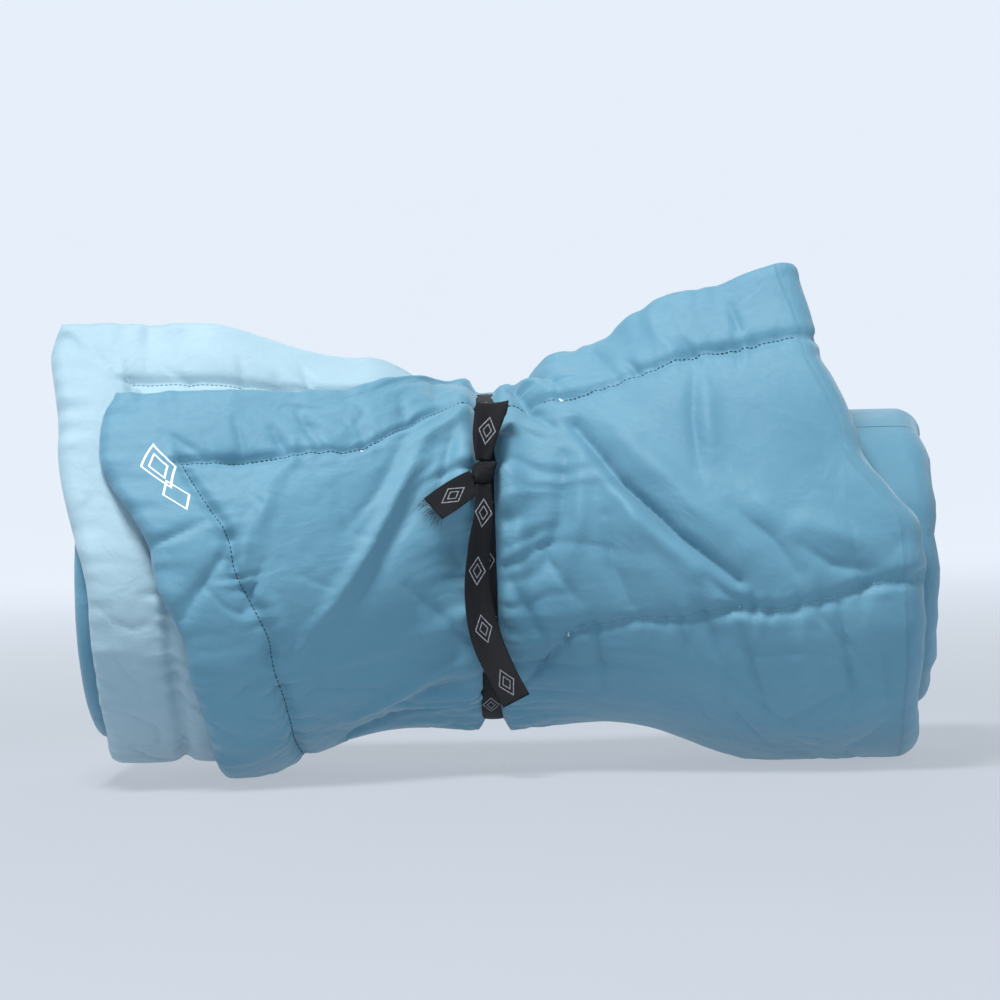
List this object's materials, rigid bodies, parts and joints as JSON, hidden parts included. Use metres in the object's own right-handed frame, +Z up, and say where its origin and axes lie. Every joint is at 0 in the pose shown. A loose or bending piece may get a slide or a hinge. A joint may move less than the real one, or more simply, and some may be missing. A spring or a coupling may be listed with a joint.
{
  "type": "camp blanket",
  "caption": "Padded camp blanket, folded in half, rolled up and tied round its waist with a ribbon that ends in a knot, a loop and two loose ends.",
  "frame": {"origin": "middle of the bounding box's bottom, on the plane the roll rests on", "axes": "+X along the roll from the open side edges to the folded edge, -Y is the front with the knot, +Z up"},
  "size_m": [0.675, 0.302, 0.3715],
  "materials": {
    "shell_fabric": "satin polyester taffeta, teal",
    "insulation": "white polyester batting",
    "lining_fabric": "matte polyester taffeta, pale aqua",
    "thread": "matte sewing thread, dark teal",
    "ribbon": "satin twill ribbon, black"
  },
  "bodies": {
    "blanket": {"outer_shell": "shell_fabric", "inner_shell": "shell_fabric", "insulation": "insulation", "lining": "lining_fabric", "free_edge_stitching": "thread", "side_edge_stitching": "thread", "lining_stitching": "thread", "quilt_stitching": "thread", "ribbon_band": "ribbon", "ribbon_knot": "ribbon"},
    "bow_loop": {"ribbon_bow_loop": "ribbon"},
    "long_tail": {"ribbon_long_tail": "ribbon"},
    "short_tail": {"ribbon_short_tail": "ribbon", "frayed_threads": "ribbon"}
  },
  "joints": [
    {"name": "bow_loop_swing", "type": "hinge", "parent": "blanket", "child": "bow_loop", "pos_m": [-0.008, -0.096, 0.222], "axis": [1, 0, 0], "range_deg": [0, 60]},
    {"name": "long_tail_swing", "type": "hinge", "parent": "blanket", "child": "long_tail", "pos_m": [-0.008, -0.096, 0.222], "axis": [-1, 0, 0], "range_deg": [0, 70]},
    {"name": "short_tail_swing", "type": "hinge", "parent": "blanket", "child": "short_tail", "pos_m": [-0.0185, -0.0967, 0.222], "axis": [0, 0, 1], "range_deg": [0, 50]}
  ]
}
